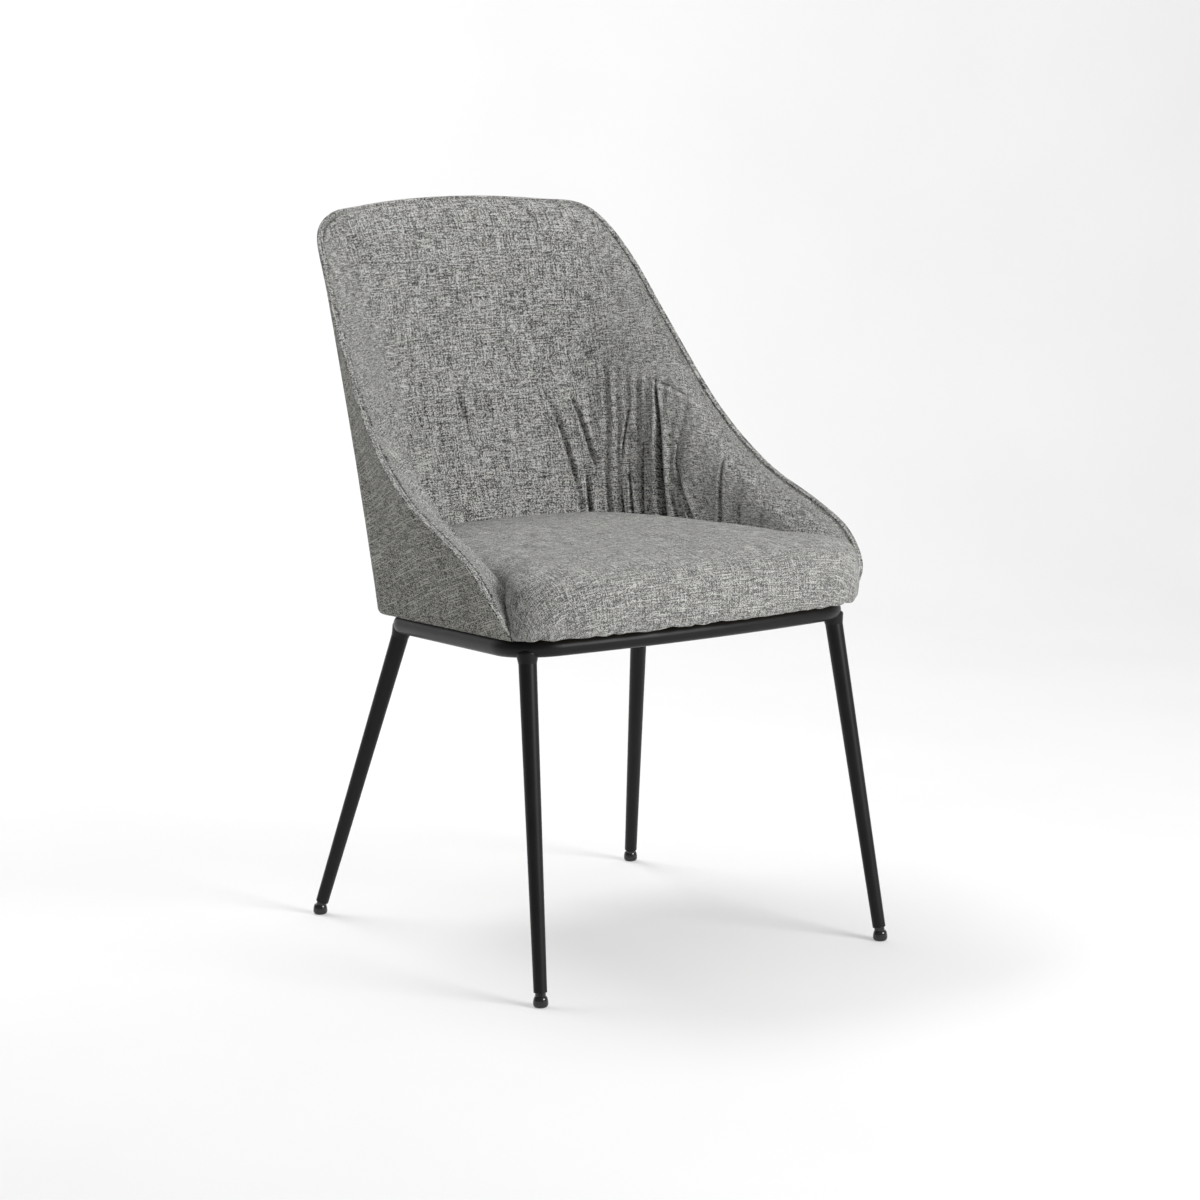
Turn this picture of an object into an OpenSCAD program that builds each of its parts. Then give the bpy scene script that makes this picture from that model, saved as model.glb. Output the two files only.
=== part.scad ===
// Upholstered bucket dining chair on a four-legged steel base.
// Millimetres. +Z is up, the chair faces -Y, and the origin lies on the floor
// under the middle of the chair's overall width and depth.

/* [Overall] */
// Overall height, floor to the top of the piping
chair_h = 878; // [850:1:910]
// Overall width, across the piping of the two wings
chair_w = 550; // [530:1:590]
// Overall depth, front glides to the piping behind the head of the back
chair_d = 580; // [570:1:600]

/* [Base] */
// Outside diameter of the ring tube, and of each leg at its top
tube_d = 22; // [20:0.5:24]
// Outside diameter of each leg at its bottom end
leg_tip_d = 15.6; // [14:0.2:18]
// Wall of the ring and leg tubes
tube_wall = 1.5; // [1:0.1:2]
// Height of the ring's centre line above the floor at the front legs
ring_h = 400; // [385:1:410]
// Backward tilt of the ring and the seat board, in degrees
seat_tilt = 4; // [3:0.5:5]
// Distance between the front glides
front_feet_w = 498; // [470:1:520]
// Distance between the rear glides
rear_feet_w = 476; // [450:1:500]
// Distance from the front glides back to the rear glides
feet_span = 500; // [480:1:515]
// Distance between the tops of the front legs
front_tops_w = 443; // [425:1:455]
// Distance between the tops of the rear legs
rear_tops_w = 354; // [340:1:370]
// Distance from the front leg tops back to the rear leg tops, along the tilt
tops_span = 331; // [320:1:340]
// Distance the front leg tops stand behind the front glides
front_rake = 65.5; // [60:0.5:70]
// Diameter of the ball of each glide
glide_d = 17.5; // [15:0.5:20]

/* [Seat] */
// Height of the middle of the cushion above the floor
seat_h = 497; // [490:1:505]
// Depth of the upholstered shell, tip of the wings to the back's rim
shell_depth = 512; // [500:1:520]
// Thickness of the plywood seat board
board_t = 15; // [12:1:18]
// Bolt hole spacing across the chair
bolt_span = 180; // [140:2:220]

/* [Back] */
// Diameter of the piping
piping_d = 5.5; // [4:0.5:7]
// Thickness of the moulded plywood shell
ply_t = 8; // [6:1:9]
// Thickness of the upholstered wing, outside to inside
wing_t = 38; // [34:1:42]
// Thickness of the upholstered back at the small of the back
lumbar_t = 56; // [50:1:62]
// Thickness of the upholstered back near its top
head_t = 36; // [32:1:44]
// Thickness of the upholstery where the back turns into each wing
corner_t = 45; // [40:1:48]
// Extra stuffing that rounds each inner corner between back and wing
corner_fill = 20; // [0:1:22]

/* [Hidden] */

FABRIC = [0.52, 0.52, 0.50];
STEEL_BLACK = [0.07, 0.07, 0.07];

fabric_t = 1.5;    // thickness of the cover cloth
gap = 0.5;         // room between soft layers
glide_r = glide_d / 2;
tube_r = tube_d / 2;
piping_r = piping_d / 2;
front_y = glide_r - chair_d / 2;           // front glides' centre line
rear_y = front_y + feet_span;              // rear glides' centre line
ball_z = glide_r - 1;                      // glide ball's centre, its foot is flat
tops_y = front_y + front_rake;             // front leg tops, in plan
pivot = [0, tops_y, ring_h];               // origin of the tilted seat frame

// ---------------------------------------------------------------- seat frame
// The ring, its crossbars and the seat board share one tilted frame. Its origin
// is midway between the front leg tops, on the ring's centre plane.
module seat_frame() translate(pivot) rotate([-seat_tilt, 0, 0]) children();

// World height of the point over plan position y that is h above the ring plane
function plane_z(y, h) = ring_h - (y - tops_y) * tan(seat_tilt) + h / cos(seat_tilt);
// World place of a point in the seat frame
function from_seat(p) = pivot + [
  p.x,
  p.y * cos(seat_tilt) + p.z * sin(seat_tilt),
  p.z * cos(seat_tilt) - p.y * sin(seat_tilt),
];
// Seat frame plan point under world plan point p, at height h over the ring plane
function to_seat(p, h) = [p.x, (p.y - tops_y - h * sin(seat_tilt)) / cos(seat_tilt)];

cloth_z = tube_r;                  // dust cover lies on the ring
board_z = cloth_z + 0.8;           // underside of the seat board
board_top = board_z + board_t;

// ---------------------------------------------------------------- base ring
corner_front = 50;                 // bend radius of the ring's front corners
corner_rear = 45;                  // bend radius of the ring's rear corners
bow_r = 1400;                      // radius of the gently bowed front bar
function dir(a) = [cos(a), sin(a)];
front_c = [front_tops_w / 2, 0] - corner_front * dir(-40);
rear_c = [rear_tops_w / 2, tops_span] - corner_rear * dir(49.5);
side_v = rear_c - front_c;
side_a = atan2(side_v.y, side_v.x) - acos((corner_front - corner_rear) / norm(side_v));
bow_a = asin(front_c.x / (bow_r - corner_front));
bow_c = [0, front_c.y + (bow_r - corner_front) * cos(bow_a)];

// Stands its children, made along +Z, at a and points them at b
module aim(a, b) {
  v = b - a;
  translate(a) rotate([0, acos(v.z / norm(v)), atan2(v.y, v.x)]) children();
}

// A round bar of radius r from a to b
module rod(a, b, r) aim(a, b) cylinder(h = norm(b - a), r = r, $fn = 48);

// A bend of round bar about centre c in the ring plane, smooth at any bend radius
module bend(c, bend_r, r, from, to) translate([c.x, c.y, 0]) rotate([0, 0, from])
  rotate_extrude(angle = to - from, $fn = bend_r > 200 ? 1440 : 96)
    translate([bend_r, 0]) circle(r, $fn = 48);

function flat3(p) = [p.x, p.y, 0];

// The ring as a solid bar of radius r, in the seat frame
module ring_bar(r) {
  bend(bow_c, bow_r, r, 270 - bow_a, 270 + bow_a);
  rear_p = rear_c.y + corner_rear;
  rod([-rear_c.x, rear_p, 0], [rear_c.x, rear_p, 0], r);
  for (side = [0, 1]) mirror([side, 0, 0]) {
    bend(front_c, corner_front, r, bow_a - 90, side_a);
    bend(rear_c, corner_rear, r, side_a, 90);
    rod(flat3(front_c + corner_front * dir(side_a)),
        flat3(rear_c + corner_rear * dir(side_a)), r);
  }
}

module base_ring() color(STEEL_BLACK) seat_frame() difference() {
  ring_bar(tube_r);
  ring_bar(tube_r - tube_wall);
}

// ---------------------------------------------------------------- legs
plug_l = 20;                       // glide stem inside the leg
neck_l = 9;                        // glide's widest part to the end of the leg tube
sole_r = 0.62 * glide_r;           // flat underside of the glide
belly_h = 4.2;                     // height of its widest part
bell_h = 8.5;                      // from there up to its neck

function foot(side, front) = front ? [side * front_feet_w / 2, front_y, ball_z]
                                   : [side * rear_feet_w / 2, rear_y, ball_z];
function leg_top(side, front) = from_seat(front ? [side * front_tops_w / 2, 0, 0]
                                                : [side * rear_tops_w / 2, tops_span, 0]);
function along(a, b, d) = a + (b - a) * d / norm(b - a);

// A tapered tube, coped to the ring's bend, with a weld bead round the joint
module leg(side, front) color(STEEL_BLACK) {
  ball = foot(side, front);
  top = leg_top(side, front);
  tip = along(ball, top, neck_l);
  length = norm(top - tip);
  tip_r = leg_tip_d / 2;
  top_r = tube_r - 0.3;
  bead_r = tube_r + 1.8;
  difference() {
    aim(tip, top) rotate_extrude($fn = 96) polygon([
      [tip_r - tube_wall, 0], [tip_r, 0], [top_r - 0.1, length - 18], [bead_r, length - 7],
      [bead_r, length - 5.5], [top_r, length - 3], [top_r, length], [top_r - tube_wall, length],
    ]);
    seat_frame() mirror([side < 0 ? 1 : 0, 0, 0])
      if (front) bend(front_c, corner_front, tube_r, bow_a - 90, side_a);
      else bend(rear_c, corner_rear, tube_r, side_a, 90);
  }
}
module leg_front_left() leg(-1, true);
module leg_front_right() leg(1, true);
module leg_rear_left() leg(-1, false);
module leg_rear_right() leg(1, false);

// A bell-shaped foot with a flat underside, and a neck that plugs the leg
module glide(side, front) color([0.03, 0.03, 0.03]) {
  ball = foot(side, front);
  top = leg_top(side, front);
  stem_r = leg_tip_d / 2 - tube_wall - 0.1;
  union() {
    translate([ball.x, ball.y, 0]) rotate_extrude($fn = 64) polygon([
      [0, 0],
      for (a = [-90 : 15 : 0]) [sole_r + (glide_r - sole_r) * cos(a), belly_h * (1 + sin(a))],
      for (a = [15 : 15 : 90]) [stem_r + (glide_r - stem_r) * cos(a), belly_h + bell_h * sin(a)],
      [0, belly_h + bell_h],
    ]);
    rod(ball, along(ball, top, neck_l + plug_l), stem_r);
  }
}
module glide_front_left() glide(-1, true);
module glide_front_right() glide(1, true);
module glide_rear_left() glide(-1, false);
module glide_rear_right() glide(1, false);

// ---------------------------------------------------------------- crossbars and bolts
bar_w = 30;
bar_t = 5;
bar_front = 62;                    // crossbars' centre lines, in the seat frame
bar_rear = 262;
bolt_r = 3;
bolt_l = 26;
head_r = 5.5;
head_h = 3.4;
socket_r = 2.3;
washer_r = 6.5;
washer_t = 1.6;
nut_r = 4;                         // barrel of the tee nut
flange_r = 9.5;                    // flange of the tee nut
flange_t = 1.5;
bolt_xy = [for (y = [bar_front, bar_rear], side = [-1, 1]) [side * bolt_span / 2, y]];

// Half the length of a crossbar that ends on the ring's centre line
function bar_half(y) = let (p = front_c + corner_front * dir(side_a))
  p.x - (y - p.y) * tan(side_a);

module crossbar(y) color(STEEL_BLACK) seat_frame() difference() {
  translate([-bar_half(y), y - bar_w / 2, cloth_z - bar_t]) cube([2 * bar_half(y), bar_w, bar_t]);
  ring_bar(tube_r);
  for (side = [-1, 1]) translate([side * bolt_span / 2, y, 0])
    cylinder(r = bolt_r + 0.5, h = 40, center = true, $fn = 32);
}
module crossbar_front() crossbar(bar_front);
module crossbar_rear() crossbar(bar_rear);

bar_under = cloth_z - bar_t;
module at_bolts() color([0.55, 0.55, 0.56]) seat_frame()
  for (p = bolt_xy) translate([p.x, p.y, 0]) children();

module mount_bolts() at_bolts() difference() {
  head_z = bar_under - washer_t - head_h;
  union() {
    translate([0, 0, head_z]) cylinder(r = head_r, h = head_h, $fn = 48);
    translate([0, 0, head_z]) cylinder(r = bolt_r, h = head_h + bolt_l, $fn = 32);
  }
  translate([0, 0, head_z - 1]) cylinder(r = socket_r, h = head_h - 0.2, $fn = 6);
}

module washers() at_bolts() translate([0, 0, bar_under - washer_t]) difference() {
  cylinder(r = washer_r, h = washer_t, $fn = 48);
  translate([0, 0, -1]) cylinder(r = bolt_r + 0.2, h = washer_t + 2, $fn = 32);
}

module tee_nuts() at_bolts() difference() {
  union() {
    translate([0, 0, board_top]) cylinder(r = flange_r, h = flange_t, $fn = 48);
    translate([0, 0, board_z + 4]) cylinder(r = nut_r, h = board_t - 3, $fn = 32);
  }
  cylinder(r = bolt_r + 0.05, h = 60, $fn = 32);
}

// ---------------------------------------------------------------- shell lofting
// Ribs of the shell from the middle of the back (first) round to the wing's tip
// (last). Each is [bottom x, bottom y, rim x, rim y, rim z] in percent of the
// shell's half width, of its depth and of its height.
RIBS = [
  [ 0.0, 83.5,   0.0, 100.0, 100.0],
  [24.0, 83.0,  26.0,  99.5,  99.6],
  [47.0, 81.5,  50.0,  97.5,  98.5],
  [62.5, 78.0,  67.0,  94.5,  97.3],
  [70.0, 71.5,  77.5,  91.3,  92.6],
  [72.5, 63.0,  83.5,  83.2,  82.4],
  [75.5, 54.0,  88.5,  72.2,  66.4],
  [78.5, 43.0,  94.0,  55.2,  44.4],
  [81.5, 32.0,  97.5,  38.0,  30.5],
  [85.0, 20.0,  99.6,  20.0,  22.5],
  [88.0,  9.0,  99.8,   8.5,  16.5],
  [89.5,  3.0,  97.5,   1.5,   8.0],
  [89.5,  0.0,  89.5,   0.0,   0.0],
];
LAST = len(RIBS) - 1;
seam_in = 2;                                   // piping line's depth behind the outer face
half_w = chair_w / 2 - piping_r + seam_in;
tip_y = chair_d / 2 - piping_r + seam_in - shell_depth;
shell_z = cloth_z + 0.3;                       // shell's bottom edge over the ring plane
tip_z = plane_z(tip_y, shell_z);
rim_h = chair_h - piping_r - tip_z;

function rib(i) = i < 0 ? let (r = RIBS[-i]) [-r[0], r[1], -r[2], r[3], r[4]]
                : i > LAST ? 2 * RIBS[LAST] - RIBS[LAST - 1] : RIBS[i];
// Smooth curve through the ribs, s from 0 at the middle of the back to 1 at the tip
function rib_at(s) =
  let (t = s * LAST, i = min(floor(t), LAST - 1), f = t - i,
       a = rib(i - 1), b = rib(i), c = rib(i + 1), d = rib(i + 2))
  (2 * b + (c - a) * f + (2 * a - 5 * b + 4 * c - d) * f * f
    + (3 * b - a - 3 * c + d) * f * f * f) / 200;
function hand(s) = s < 0 ? -1 : 1;
function bottom_at(s) =
  let (r = rib_at(abs(s)), y = tip_y + r[1] * shell_depth)
  [hand(s) * r[0] * half_w, y, plane_z(y, shell_z)];
function rim_at(s) =
  let (r = rib_at(abs(s)))
  [hand(s) * r[2] * half_w, tip_y + r[3] * shell_depth, tip_z + r[4] * rim_h];
function unit(v) = v / norm(v);
// Level direction square to the shell, from its outside towards the sitter
function inward(s) =
  let (e = 0.004, u = min(max(s, e - 1), 1 - e), k = 0.2,
       t = (bottom_at(u + e) - bottom_at(u - e)) * (1 - k) + (rim_at(u + e) - rim_at(u - e)) * k)
  unit([t.y, -t.x, 0]);
// Level direction in which the lining lies over the shell: it swings round slowly,
// which makes the bucket's inside corners broad
turn_end = 0.5;
side_turn = 82;
function towards(s) =
  let (a = side_turn * sin(90 * min(abs(s) / turn_end, 1))) [-hand(s) * sin(a), -cos(a), 0];
edge_in = piping_r + 0.2;                      // covers stop this far inside the piping line
function rib_len(s) = norm(rim_at(s) - bottom_at(s)) - edge_in;
// Point h up the rib from its bottom
function up_rib(s, h) = let (b = bottom_at(s)) b + h * unit(rim_at(s) - b);
// Point h up the rib and d inside the shell's outer face
function in_shell(s, h, d) = up_rib(s, h) + d * inward(s);
// Point of the lining, h up the rib, where the upholstery is d thick
function in_lining(s, h, d) = up_rib(s, h) + d * towards(s);

// Thickness of the upholstery h up the rib, which rolls off to the rim. A layer that
// lies under the lining's face is set in by d.
roll_l = 28;
edge_t = 2 * fabric_t + 0.4;
function clamp(x, lo, hi) = min(max(x, lo), hi);
function ease(x) = let (c = clamp(x, 0, 1)) c * c * (3 - 2 * c);
function hill(x) = exp(-1.6 * x * x);
function full_t(s, h) =
  let (turn = ease((abs(s) - 0.08) / 0.22),
       side = ease((abs(s) - 0.38) / 0.20),
       up = ease((h - 110) / 230),
       centre_t = lumbar_t * (1 - up) + head_t * up,
       tip = ease((1 - abs(s)) / 0.14),
       rear_t = centre_t * (1 - turn) + corner_t * turn,
       body_t = (rear_t * (1 - side) + wing_t * side) * (0.4 + 0.6 * tip),
       low = ease((h + 10) / 75),
       fill_t = corner_fill * hill((abs(s) - 0.285) / 0.15) * (1 - 0.6 * ease((h - 120) / 230)))
  (ply_t + 10) * (1 - low) + (max(body_t, ply_t + 8) + fill_t) * low;
function skin_t(s, h, d) =
  let (g = clamp((rib_len(s) - d - h) / (roll_l - d), 0, 1))
  edge_t + (full_t(s, h) - d - edge_t) * sqrt(1 - (1 - g) * (1 - g));

N_S = 56;                                      // strips round the shell
N_V = 12;                                      // strips up the shell
function spread(last) = [for (i = [0 : N_S]) last * (2 * i / N_S - 1)];
pad_lo = board_top - shell_z + 0.6;            // pad and inner cover stand on the board
// Height of level j of the pad and inner cover, closer together near the rim, where
// the last level stands d below the rim
function level(s, j, d) = pad_lo + (rib_len(s) - d - pad_lo) * (1 - pow(1 - j / N_V, 1.8));

// A closed slab between two sheets of points, each sheet[station][level]
module slab(outer, inner) {
  n = len(outer);
  m = len(outer[0]);
  function o(i, j) = i * m + j;
  function q(i, j) = n * m + i * m + j;
  function quad(a, b, c, d) = [[a, b, c], [a, c, d]];
  faces = [
    for (i = [0 : n - 2], j = [0 : m - 2])
      each quad(o(i, j), o(i, j + 1), o(i + 1, j + 1), o(i + 1, j)),
    for (i = [0 : n - 2], j = [0 : m - 2])
      each quad(q(i, j), q(i + 1, j), q(i + 1, j + 1), q(i, j + 1)),
    for (i = [0 : n - 2]) each quad(o(i, 0), o(i + 1, 0), q(i + 1, 0), q(i, 0)),
    for (i = [0 : n - 2])
      each quad(o(i, m - 1), q(i, m - 1), q(i + 1, m - 1), o(i + 1, m - 1)),
    for (j = [0 : m - 2]) each quad(o(0, j), q(0, j), q(0, j + 1), o(0, j + 1)),
    for (j = [0 : m - 2])
      each quad(o(n - 1, j), o(n - 1, j + 1), q(n - 1, j + 1), q(n - 1, j)),
  ];
  polyhedron(points = [for (s = outer) each s, for (s = inner) each s], faces = faces);
}

// A closed form through rings of points, shut at both ends by a fan
module loft(rings) {
  n = len(rings);
  k = len(rings[0]);
  function mid(r) = [for (p = r) 1] * r / len(r);
  faces = [
    for (i = [0 : n - 2], j = [0 : k - 1]) let (a = i * k, b = a + k, t = (j + 1) % k)
      each [[a + j, b + j, b + t], [a + j, b + t, a + t]],
    for (j = [0 : k - 1]) [n * k, j, (j + 1) % k],
    for (j = [0 : k - 1]) [n * k + 1, (n - 1) * k + (j + 1) % k, (n - 1) * k + j],
  ];
  polyhedron(points = [for (r = rings) each r, mid(rings[0]), mid(rings[n - 1])], faces = faces);
}

// ---------------------------------------------------------------- back and wings
shell_end = 0.94;                              // where each layer ends near the wing's tip
pad_end = 0.92;
lining_end = 0.94;
cover_end = 0.985;
under_rim = 5;                                 // plywood and pad stop this far below the rim
ply_from = fabric_t + gap;
ply_to = ply_from + ply_t;
screw_s = [-0.68, -0.5, -0.33, -0.12, 0.12, 0.33, 0.5, 0.68];
screw_h = 8;
screw_r = 2;
screw_l = 30;

module at_screws() for (s = screw_s) {
  n = inward(s);
  translate(in_shell(s, screw_h, ply_from)) rotate([0, 90, atan2(n.y, n.x)]) children();
}

function ply_sheet(d) = [
  for (s = spread(shell_end))
    [for (j = [0 : 6]) in_shell(s, (rib_len(s) - under_rim) * j / 6, d)]
];
module back_shell() color([0.80, 0.66, 0.46]) difference() {
  slab(ply_sheet(ply_from), ply_sheet(ply_to));
  at_screws() translate([0, 0, -5]) cylinder(r = screw_r + 0.2, h = screw_l, $fn = 24);
}

module shell_screws() color([0.75, 0.7, 0.5]) at_screws()
  translate([0, 0, 0.4]) cylinder(r = screw_r, h = screw_l, $fn = 24);

under = fabric_t + gap;                        // how far the pad lies under the lining's face
module back_pad() color([0.93, 0.90, 0.78]) {
  ss = spread(pad_end);
  slab([for (s = ss) [for (j = [0 : N_V]) in_shell(s, level(s, j, under_rim), ply_to + gap)]],
       [for (s = ss) [for (j = [0 : N_V]) let (h = level(s, j, under_rim))
         in_lining(s, h, skin_t(s, h, under))]]);
}

function lining_sheet(d) = [
  for (s = spread(lining_end))
    [for (j = [0 : N_V]) let (h = level(s, j, d)) in_lining(s, h, skin_t(s, h, d))]
];
module inner_cover() color(FABRIC) slab(lining_sheet(fabric_t), lining_sheet(0));

function cover_sheet(d) = [
  for (s = spread(cover_end)) [for (j = [0 : 8]) in_shell(s, rib_len(s) * j / 8, d)]
];
module outer_cover() color(FABRIC) slab(cover_sheet(0), cover_sheet(fabric_t));

// A ring of points round the piping where it passes rib position s
function piping_ring(s, sides = 8) =
  let (e = 0.003, u = clamp(s, e - 1, 1 - e), c = rim_at(u) + seam_in * inward(u),
       t = unit(rim_at(u + e) - rim_at(u - e)), x = inward(u), y = cross(t, x))
  [for (k = [0 : sides - 1]) let (a = 360 * k / sides) c + piping_r * (cos(a) * x + sin(a) * y)];

module piping() color(FABRIC) loft([for (i = [-36 : 36]) piping_ring(cover_end * i / 36)]);

// ---------------------------------------------------------------- seat
// Front lip of the cushion, from the middle to the corner, in percent of the
// shell's half width and of the cushion's depth in front of the wing tips
LIP = [[0, 100], [28, 98.5], [53, 92], [72, 76], [84, 49], [91, 12], [92.5, -14], [90.5, -38]];
lip_depth = 57;
cushion_gap = 1.5;
side_end = 0.86;
n_side = 22;
// The cushion's side follows the inner cover, s round the shell
function cushion_side(s) =
  let (h = min(90, 0.72 * rib_len(s)), p = in_lining(s, h, skin_t(s, h, 0) + cushion_gap))
  [p.x, p.y];
function lip_at(t) =
  let (last = len(LIP) - 1, x = t * last, i = min(floor(x), last - 1), f = x - i,
       a = i == 0 ? [-LIP[1].x, LIP[1].y] : LIP[i - 1], b = LIP[i], c = LIP[i + 1],
       d = i + 2 > last ? 2 * c - b : LIP[i + 2],
       p = (2 * b + (c - a) * f + (2 * a - 5 * b + 4 * c - d) * f * f
            + (3 * b - a - 3 * c + d) * f * f * f) / 200)
  [p.x * half_w, tip_y - p.y * lip_depth];
// Right half of the outline, front middle to back middle, as [x, y, how far it is lip]
right_half = [
  for (i = [0 : 15]) let (p = lip_at(i / 15)) [p.x, p.y, 1],
  for (i = [0 : n_side]) let (p = cushion_side(side_end * (1 - i / n_side))) [p.x, p.y, 0],
];
n_half = len(right_half);
outline = [
  for (p = right_half) p,
  for (i = [n_half - 2 : -1 : 1]) [-right_half[i].x, right_half[i].y, right_half[i].z],
];
middle_y = tip_y + 0.3 * shell_depth;          // the cushion's middle
// The outline drawn in by the share f, and set in by d
function drawn_in(f, d) = [
  for (p = outline) let (v = [p.x, p.y - middle_y], l = norm(v)) [0, middle_y] + v * (f - d / l)
];
// Rings of the cushion's top, each [share of the outline, height below seat_h]
TOP = [[1, 27], [0.985, 19], [0.955, 13.5], [0.90, 9.5], [0.78, 5], [0.60, 2], [0.35, 0.5], [0.12, 0]];
function top_rings(d, drop) = [
  for (r = TOP) [for (p = drawn_in(r[0], d)) [p.x, p.y, seat_h - r[1] - drop]]
];
// A ring h above the ring plane, with the lip reaching down by reach
function low_ring(d, h, reach) = [
  for (i = [0 : len(outline) - 1]) let (p = drawn_in(1, d)[i])
    [p.x, p.y, plane_z(p.y, h - reach * outline[i].z)]
];
function reversed(a) = [for (i = [len(a) - 1 : -1 : 0]) a[i]];
seat_lo = board_top + 0.3;
skirt = board_top - shell_z;                   // the cover's skirt in front of the board

module seat_foam() color([0.93, 0.90, 0.78])
  difference() {
    loft(concat([low_ring(fabric_t + gap, seat_lo, 0)], top_rings(fabric_t + gap, fabric_t + gap)));
    seat_frame() for (p = bolt_xy) translate([p.x, p.y, board_top])
      cylinder(r = flange_r + 1.5, h = 5, $fn = 32);
  }

module seat_cover() color(FABRIC)
  loft(concat(reversed(top_rings(fabric_t, fabric_t)),
    [low_ring(fabric_t, seat_lo, skirt), low_ring(0, seat_lo, skirt)], top_rings(0, 0)));

// Plan of the board, in the seat frame: inside the shell, and behind the lip
board_mid = board_z + board_t / 2;
board_right = [
  for (i = [0 : 12]) let (p = lip_at(0.6 * i / 12)) [p.x * 0.95, p.y + 12],
  for (i = [0 : 24]) let (p = in_shell(0.9 * (1 - i / 24), 0, ply_to + gap)) [p.x, p.y],
];
board_plan = [
  for (p = board_right) to_seat(p, board_mid),
  for (i = [len(board_right) - 2 : -1 : 1]) let (p = board_right[i]) to_seat([-p.x, p.y], board_mid),
];

module seat_board() color([0.80, 0.66, 0.46]) difference() {
  seat_frame() translate([0, 0, board_z]) linear_extrude(board_t) polygon(board_plan);
  seat_frame() for (p = bolt_xy) translate([p.x, p.y, 0]) cylinder(r = nut_r + 0.1, h = 60, $fn = 32);
  at_screws() cylinder(r = screw_r + 0.1, h = screw_l + 2, $fn = 24);
}

// Plan of the cloth under the board, inside the ring, set in by d
function arc(c, r, from, to, n) = [for (i = [0 : n]) c + r * dir(from + (to - from) * i / n)];
function ring_inside(d) =
  let (right = concat(arc(front_c, corner_front - d, bow_a - 90, side_a, 8),
                      arc(rear_c, corner_rear - d, side_a, 90, 8)))
  concat(right, [for (p = reversed(right)) [-p.x, p.y]]);

module dust_cover() color([0.05, 0.05, 0.05]) seat_frame() difference() {
  translate([0, 0, cloth_z]) linear_extrude(0.8) polygon(ring_inside(tube_r + 4));
  for (p = bolt_xy) translate([p.x, p.y, 0]) cylinder(r = 4.5, h = 60, $fn = 32);
}

// Staples through the edge of the cloth into the board
staple_line = ring_inside(tube_r + 9);
staple_y = [20, 100, 145, 190, 228, 300];
module staple(x, y, turn) seat_frame() translate([x, y, cloth_z - 0.6]) rotate([0, 0, turn])
  translate([-5, -0.6, 0]) cube([10, 1.2, 0.6]);
module staples() color([0.7, 0.7, 0.7]) {
  for (side = [-1, 1], y = staple_y) staple(side * (bar_half(y) - tube_r - 9), y, 90 + side * side_a);
  for (x = [-130 : 65 : 130]) {
    staple(x, rear_c.y + corner_rear - tube_r - 9, 0);
    staple(x, bow_c.y - bow_r * cos(asin(x / bow_r)) + tube_r + 9, 0);
  }
}

base_ring();
leg_front_left();
leg_front_right();
leg_rear_left();
leg_rear_right();
glide_front_left();
glide_front_right();
glide_rear_left();
glide_rear_right();
crossbar_front();
crossbar_rear();
mount_bolts();
washers();
tee_nuts();
seat_board();
seat_foam();
seat_cover();
dust_cover();
staples();
back_shell();
shell_screws();
back_pad();
inner_cover();
outer_cover();
piping();
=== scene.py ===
"""Looks of an upholstered bucket dining chair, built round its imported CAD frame.

Metres. +Z is up and the chair faces -Y. A place on the shell is given by s, from 0 at
the middle of the back to 1 at the tip of the right wing (-1 on the left), by h, the
height up the rib from the shell's bottom edge, and by d, the depth inside its outer face.
"""

import math

import bpy
import numpy as np
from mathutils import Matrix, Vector


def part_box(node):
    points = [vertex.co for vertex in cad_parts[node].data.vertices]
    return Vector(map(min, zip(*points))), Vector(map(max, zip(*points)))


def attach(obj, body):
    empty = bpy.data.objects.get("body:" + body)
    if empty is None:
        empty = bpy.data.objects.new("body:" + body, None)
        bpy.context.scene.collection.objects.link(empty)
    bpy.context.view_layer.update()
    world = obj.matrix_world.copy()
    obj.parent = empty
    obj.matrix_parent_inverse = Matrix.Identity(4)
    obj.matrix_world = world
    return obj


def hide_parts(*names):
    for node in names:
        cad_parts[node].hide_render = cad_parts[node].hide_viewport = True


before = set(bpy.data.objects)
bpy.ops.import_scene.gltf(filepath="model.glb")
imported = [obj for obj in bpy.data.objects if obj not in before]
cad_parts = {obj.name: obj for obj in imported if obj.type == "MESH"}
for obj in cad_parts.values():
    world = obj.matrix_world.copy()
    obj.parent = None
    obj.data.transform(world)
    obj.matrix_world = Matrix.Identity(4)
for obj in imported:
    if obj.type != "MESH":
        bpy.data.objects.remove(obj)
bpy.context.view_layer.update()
MM = 0.001

# ------------------------------------------------------------------ sizes from the frame
TILT = math.radians(4)             # the seat and ring lean back by this much
PIPING_R = 2.75 * MM
SEAM_IN = 2 * MM                   # rim seam's depth behind the shell's outer face
SHELL_DEPTH = 512 * MM             # tip of the wings to the back's rim
BOARD_T = 15 * MM
EDGE_IN = PIPING_R + 0.2 * MM      # covers stop this far inside the rim's line
EDGE_D = 5.4 * MM                  # depth of the lining's edge beside the rim seam
BOTTOM_Y = 0.835                   # the back's bottom edge, as a share of the depth

piping_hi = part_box("piping")[1]
HALF_W = piping_hi.x - PIPING_R + SEAM_IN
RIM_TOP = piping_hi.z - PIPING_R
TIP_Y = piping_hi.y - PIPING_R + SEAM_IN - SHELL_DEPTH
LOWEST_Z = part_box("outer_cover")[0].z
COVER_S = 0.985                    # the outer panel and the rim seam end here, at the tips
STITCH_S = 0.98                    # and the stitches here


def shell_bottom_z(y):
    """Height of the shell's bottom edge over plan depth y: it follows the tilted ring."""
    return LOWEST_Z + (TIP_Y + BOTTOM_Y * SHELL_DEPTH - y) * math.tan(TILT)


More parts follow.
